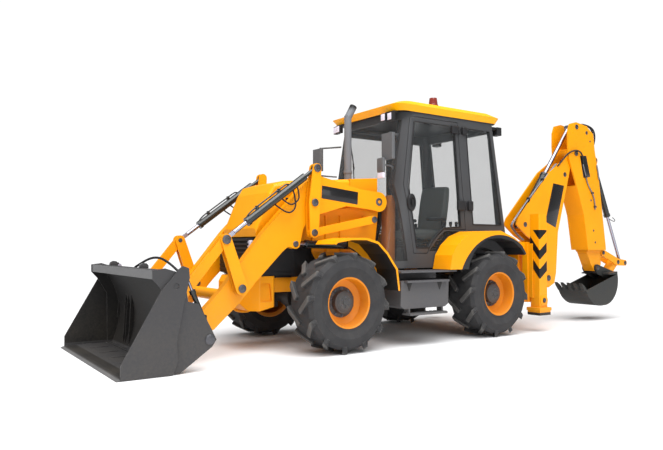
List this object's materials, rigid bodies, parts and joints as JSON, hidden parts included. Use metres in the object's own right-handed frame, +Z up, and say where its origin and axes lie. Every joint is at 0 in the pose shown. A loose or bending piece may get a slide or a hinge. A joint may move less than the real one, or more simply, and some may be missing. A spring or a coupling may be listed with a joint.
{
  "type": "backhoe loader",
  "caption": "Compact backhoe loader with a parallel-lift loader and clam shovel in front, a cab in the middle and a side-shift backhoe with stabilisers behind.",
  "frame": {"origin": "on the ground under the middle of the machine's box", "axes": "+X forwards (the shovel's end), +Y to the driver's left, +Z up"},
  "size_m": [7.864, 2.06, 2.8552],
  "materials": {
    "yellow_paint": "satin",
    "grey_paint": "satin",
    "frame_black": "satin",
    "cab_grey": "satin",
    "hub_grey": "satin",
    "tyre_rubber": "matte",
    "cylinder_black": "gloss",
    "rod_chrome": "polished",
    "pin_steel": "satin",
    "cab_glass": "clear",
    "trim_black": "matte",
    "seat_black": "matte",
    "engine_iron": "matte",
    "exhaust_steel": "satin"
  },
  "bodies": {
    "machine": {"chassis_frame": "frame_black", "front_nose": "yellow_paint", "radiator_housing": "trim_black", "engine_block": "engine_iron", "axle_housings": "frame_black", "fenders": "yellow_paint", "side_boxes": "frame_black", "cab_frame": "cab_grey", "cab_roof": "yellow_paint", "cab_glass": "cab_glass", "cab_interior": "seat_black", "exhaust_stack": "exhaust_steel", "mirrors_and_lamps": "trim_black", "rear_frame": "frame_black", "tie_down_eyes": "yellow_paint"},
    "door_left": {"door_left": "cab_grey"},
    "door_right": {"door_right": "cab_grey"},
    "bonnet": {"bonnet": "yellow_paint"},
    "knuckle_left": {"knuckle_left": "frame_black"},
    "knuckle_right": {"knuckle_right": "frame_black"},
    "loader_arms": {"loader_arms": "yellow_paint"},
    "levers": {"levers": "yellow_paint"},
    "parallel_links": {"parallel_links": "yellow_paint"},
    "crank_pins": {"crank_pins": "pin_steel"},
    "bell_cranks": {"bell_cranks": "yellow_paint"},
    "link_pins": {"link_pins": "pin_steel"},
    "tipping_links": {"tipping_links": "yellow_paint"},
    "shovel_pins": {"shovel_pins": "pin_steel"},
    "shovel_back": {"shovel_back": "grey_paint"},
    "shovel_clam": {"shovel_clam": "grey_paint"},
    "lift_barrels": {"lift_barrels": "cylinder_black"},
    "lift_rods": {"lift_rods": "rod_chrome"},
    "tilt_barrels": {"tilt_barrels": "cylinder_black"},
    "tilt_rods": {"tilt_rods": "rod_chrome"},
    "clam_barrels": {"clam_barrels": "cylinder_black"},
    "clam_rods": {"clam_rods": "rod_chrome"},
    "carriage": {"carriage": "yellow_paint"},
    "kingpost": {"kingpost": "yellow_paint"},
    "boom": {"boom": "yellow_paint"},
    "boom_barrel": {"boom_barrel": "cylinder_black"},
    "boom_rod": {"boom_rod": "rod_chrome"},
    "dipper": {"dipper": "yellow_paint"},
    "dipper_barrel": {"dipper_barrel": "cylinder_black"},
    "dipper_rod": {"dipper_rod": "rod_chrome"},
    "extension": {"extension": "yellow_paint"},
    "crowd_barrel": {"crowd_barrel": "cylinder_black"},
    "crowd_rod": {"crowd_rod": "rod_chrome"},
    "tipping_lever": {"tipping_lever": "yellow_paint"},
    "hoe_link": {"hoe_link": "yellow_paint"},
    "hoe_bucket": {"hoe_bucket": "grey_paint"},
    "stabiliser_left": {"stabiliser_left": "yellow_paint"},
    "stabiliser_right": {"stabiliser_right": "yellow_paint"},
    "wheel_front_left": {"tyre_front_left": "tyre_rubber", "rim_front_left": "hub_grey"},
    "wheel_front_right": {"tyre_front_right": "tyre_rubber", "rim_front_right": "hub_grey"},
    "wheel_rear_left": {"tyre_rear_left": "tyre_rubber", "rim_rear_left": "hub_grey"},
    "wheel_rear_right": {"tyre_rear_right": "tyre_rubber", "rim_rear_right": "hub_grey"}
  },
  "joints": [
    {"name": "steer_left", "type": "hinge", "parent": "machine", "child": "knuckle_left", "pos_m": [1.654, 0.7, 0.50518], "axis": [0, 0, 1], "range_deg": [-30, 30]},
    {"name": "steer_right", "type": "hinge", "parent": "machine", "child": "knuckle_right", "pos_m": [1.654, -0.7, 0.50518], "axis": [0, 0, 1], "range_deg": [-30, 30]},
    {"name": "wheel_spin_front_left", "type": "hinge", "parent": "knuckle_left", "child": "wheel_front_left", "pos_m": [1.654, 0.815, 0.50518], "axis": [0, 1, 0], "continuous": true},
    {"name": "wheel_spin_front_right", "type": "hinge", "parent": "knuckle_right", "child": "wheel_front_right", "pos_m": [1.654, -0.815, 0.50518], "axis": [0, 1, 0], "continuous": true},
    {"name": "wheel_spin_rear_left", "type": "hinge", "parent": "machine", "child": "wheel_rear_left", "pos_m": [-0.526, 0.815, 0.50518], "axis": [0, 1, 0], "continuous": true},
    {"name": "wheel_spin_rear_right", "type": "hinge", "parent": "machine", "child": "wheel_rear_right", "pos_m": [-0.526, -0.815, 0.50518], "axis": [0, 1, 0], "continuous": true},
    {"name": "door_swing_left", "type": "hinge", "parent": "machine", "child": "door_left", "pos_m": [-0.255, 0.686, 1.89018], "axis": [0.0592, -0.044, 0.9973], "range_deg": [0, 70]},
    {"name": "door_swing_right", "type": "hinge", "parent": "machine", "child": "door_right", "pos_m": [-0.255, -0.686, 1.89018], "axis": [0.0592, 0.044, 0.9973], "range_deg": [-70, 0]},
    {"name": "bonnet_lift", "type": "hinge", "parent": "machine", "child": "bonnet", "pos_m": [1.219, 0, 1.81218], "axis": [0, -1, 0], "range_deg": [0, 45]},
    {"name": "loader_lift", "type": "hinge", "parent": "machine", "child": "loader_arms", "pos_m": [0.923, 0, 1.56118], "axis": [0, -1, 0], "range_deg": [0, 68]},
    {"name": "lever_swing", "type": "hinge", "parent": "loader_arms", "child": "levers", "pos_m": [1.831, 0, 1.51518], "axis": [0, 1, 0], "range_deg": [0, 54]},
    {"name": "parallel_link_swing", "type": "hinge", "parent": "machine", "child": "parallel_links", "pos_m": [1.045, 0, 1.35818], "axis": [0, -1, 0], "range_deg": [0, 76.21]},
    {"name": "crank_pin_turn", "type": "hinge", "parent": "loader_arms", "child": "crank_pins", "pos_m": [2.65, 0, 0.66418], "axis": [0, 1, 0], "range_deg": [0, 36.9]},
    {"name": "shovel_pin_turn", "type": "hinge", "parent": "loader_arms", "child": "shovel_pins", "pos_m": [3.214, 0, 0.27018], "axis": [0, 1, 0], "range_deg": [0, 60.61]},
    {"name": "lift_barrel_swing", "type": "hinge", "parent": "machine", "child": "lift_barrels", "pos_m": [1.014, 0, 1.07018], "axis": [0, -1, 0], "range_deg": [0, 60.78]},
    {"name": "shovel_tilt", "type": "hinge", "parent": "shovel_pins", "child": "shovel_back", "pos_m": [3.214, 0, 0.27018], "axis": [0, 1, 0], "range_deg": [-24, 50]},
    {"name": "bell_crank_swing", "type": "hinge", "parent": "crank_pins", "child": "bell_cranks", "pos_m": [2.65, 0, 0.66418], "axis": [0, 1, 0], "range_deg": [-14.62, 30.45]},
    {"name": "link_pin_turn", "type": "hinge", "parent": "bell_cranks", "child": "link_pins", "pos_m": [2.814, 0, 1.13118], "axis": [0, -1, 0], "range_deg": [0, 35.2]},
    {"name": "tipping_link_swing", "type": "hinge", "parent": "link_pins", "child": "tipping_links", "pos_m": [2.814, 0, 1.13118], "axis": [0, -1, 0], "range_deg": [-14.62, 30.45]},
    {"name": "tilt_barrel_swing", "type": "hinge", "parent": "levers", "child": "tilt_barrels", "pos_m": [1.799, 0, 1.87318], "axis": [0, -1, 0], "range_deg": [0, 49.92]},
    {"name": "lift_rod_slide", "type": "slide", "parent": "lift_barrels", "child": "lift_rods", "axis": [0.9998, 0, 0.0202], "range_m": [0, 0.5447]},
    {"name": "tilt_rod_slide", "type": "slide", "parent": "tilt_barrels", "child": "tilt_rods", "axis": [0.8073, 0, -0.5902], "range_m": [-0.0763, 0.1589]},
    {"name": "shovel_clam_open", "type": "hinge", "parent": "shovel_back", "child": "shovel_clam", "pos_m": [3.448, 0, 0.73618], "axis": [0, -1, 0], "range_deg": [0, 50]},
    {"name": "clam_barrel_swing", "type": "hinge", "parent": "shovel_back", "child": "clam_barrels", "pos_m": [3.174, 0, 0.43018], "axis": [0, -1, 0], "range_deg": [0, 2.35]},
    {"name": "clam_rod_slide", "type": "slide", "parent": "clam_barrels", "child": "clam_rods", "axis": [0.3939, 0, 0.9191], "range_m": [-0.1242, 0]},
    {"name": "side_shift", "type": "slide", "parent": "machine", "child": "carriage", "axis": [0, 1, 0], "range_m": [-0.9, 0]},
    {"name": "boom_swing", "type": "hinge", "parent": "carriage", "child": "kingpost", "pos_m": [-1.706, 0.45, 0.65018], "axis": [0, 0, 1], "range_deg": [-90, 90]},
    {"name": "boom_lower", "type": "hinge", "parent": "kingpost", "child": "boom", "pos_m": [-2.006, 0.45, 0.63218], "axis": [0, -1, 0], "range_deg": [0, 80]},
    {"name": "boom_barrel_swing", "type": "hinge", "parent": "kingpost", "child": "boom_barrel", "pos_m": [-1.831, 0.45, 1.05018], "axis": [0, -1, 0], "range_deg": [0, 81.96]},
    {"name": "boom_rod_slide", "type": "slide", "parent": "boom_barrel", "child": "boom_rod", "axis": [-0.4831, 0, 0.8756], "range_m": [0, 0.5817]},
    {"name": "dipper_open", "type": "hinge", "parent": "boom", "child": "dipper", "pos_m": [-2.613, 0.45, 2.38818], "axis": [0, 1, 0], "range_deg": [0, 100]},
    {"name": "dipper_barrel_swing", "type": "hinge", "parent": "boom", "child": "dipper_barrel", "pos_m": [-1.538, 0.45, 1.35518], "axis": [0, 1, 0], "range_deg": [0, 6.73]},
    {"name": "dipper_rod_slide", "type": "slide", "parent": "dipper_barrel", "child": "dipper_rod", "axis": [-0.6141, 0, 0.7892], "range_m": [-0.5689, 0]},
    {"name": "extension_slide", "type": "slide", "parent": "dipper", "child": "extension", "axis": [-0.1504, 0, -0.9886], "range_m": [0, 0.75]},
    {"name": "bucket_dump", "type": "hinge", "parent": "extension", "child": "hoe_bucket", "pos_m": [-3.137, 0.45, 0.74618], "axis": [0, 1, 0], "range_deg": [-60, 40]},
    {"name": "tipping_lever_swing", "type": "hinge", "parent": "extension", "child": "tipping_lever", "pos_m": [-3.32, 0.45, 0.97018], "axis": [0, 1, 0], "range_deg": [-52.42, 34.95]},
    {"name": "hoe_link_swing", "type": "hinge", "parent": "tipping_lever", "child": "hoe_link", "pos_m": [-3.702, 0.45, 0.82418], "axis": [0, -1, 0], "range_deg": [-65.17, 43.45]},
    {"name": "crowd_barrel_swing", "type": "hinge", "parent": "extension", "child": "crowd_barrel", "pos_m": [-3.201, 0.45, 2.33818], "axis": [0, 1, 0], "range_deg": [-12.89, 8.6]},
    {"name": "crowd_rod_slide", "type": "slide", "parent": "crowd_barrel", "child": "crowd_rod", "axis": [-0.4101, 0, -0.9121], "range_m": [-0.2253, 0.3379]},
    {"name": "stabiliser_drop_left", "type": "slide", "parent": "machine", "child": "stabiliser_left", "axis": [0, 0, -1], "range_m": [0, 0.36]},
    {"name": "stabiliser_drop_right", "type": "slide", "parent": "machine", "child": "stabiliser_right", "axis": [0, 0, -1], "range_m": [0, 0.36]}
  ],
  "couplings": [
    {"joint": "steer_right", "follows": "steer_left", "ratio": 1},
    {"joint": "lever_swing", "follows": "loader_lift", "ratio": 0.794},
    {"joint": "parallel_link_swing", "follows": "loader_lift", "ratio": 1.1206},
    {"joint": "crank_pin_turn", "follows": "loader_lift", "ratio": 0.5426},
    {"joint": "shovel_pin_turn", "follows": "loader_lift", "ratio": 0.8912},
    {"joint": "bell_crank_swing", "follows": "shovel_tilt", "ratio": 0.609},
    {"joint": "link_pin_turn", "follows": "loader_lift", "ratio": 0.5176},
    {"joint": "tipping_link_swing", "follows": "shovel_tilt", "ratio": 0.609},
    {"joint": "tilt_barrel_swing", "follows": "loader_lift", "ratio": 0.734},
    {"joint": "lift_barrel_swing", "follows": "loader_lift", "ratio": 0.8937},
    {"joint": "lift_rod_slide", "follows": "loader_lift", "m_per_rad": 0.4589},
    {"joint": "tilt_rod_slide", "follows": "shovel_tilt", "m_per_rad": 0.182},
    {"joint": "clam_barrel_swing", "follows": "shovel_clam_open", "ratio": 0.0469},
    {"joint": "clam_rod_slide", "follows": "shovel_clam_open", "m_per_rad": -0.1423},
    {"joint": "boom_barrel_swing", "follows": "boom_lower", "ratio": 1.0244},
    {"joint": "boom_rod_slide", "follows": "boom_lower", "m_per_rad": 0.4166},
    {"joint": "dipper_barrel_swing", "follows": "dipper_open", "ratio": 0.0673},
    {"joint": "dipper_rod_slide", "follows": "dipper_open", "m_per_rad": -0.3259},
    {"joint": "tipping_lever_swing", "follows": "bucket_dump", "ratio": 0.87364},
    {"joint": "hoe_link_swing", "follows": "bucket_dump", "ratio": 1.0861},
    {"joint": "crowd_barrel_swing", "follows": "bucket_dump", "ratio": 0.21482},
    {"joint": "crowd_rod_slide", "follows": "bucket_dump", "m_per_rad": -0.32262}
  ]
}
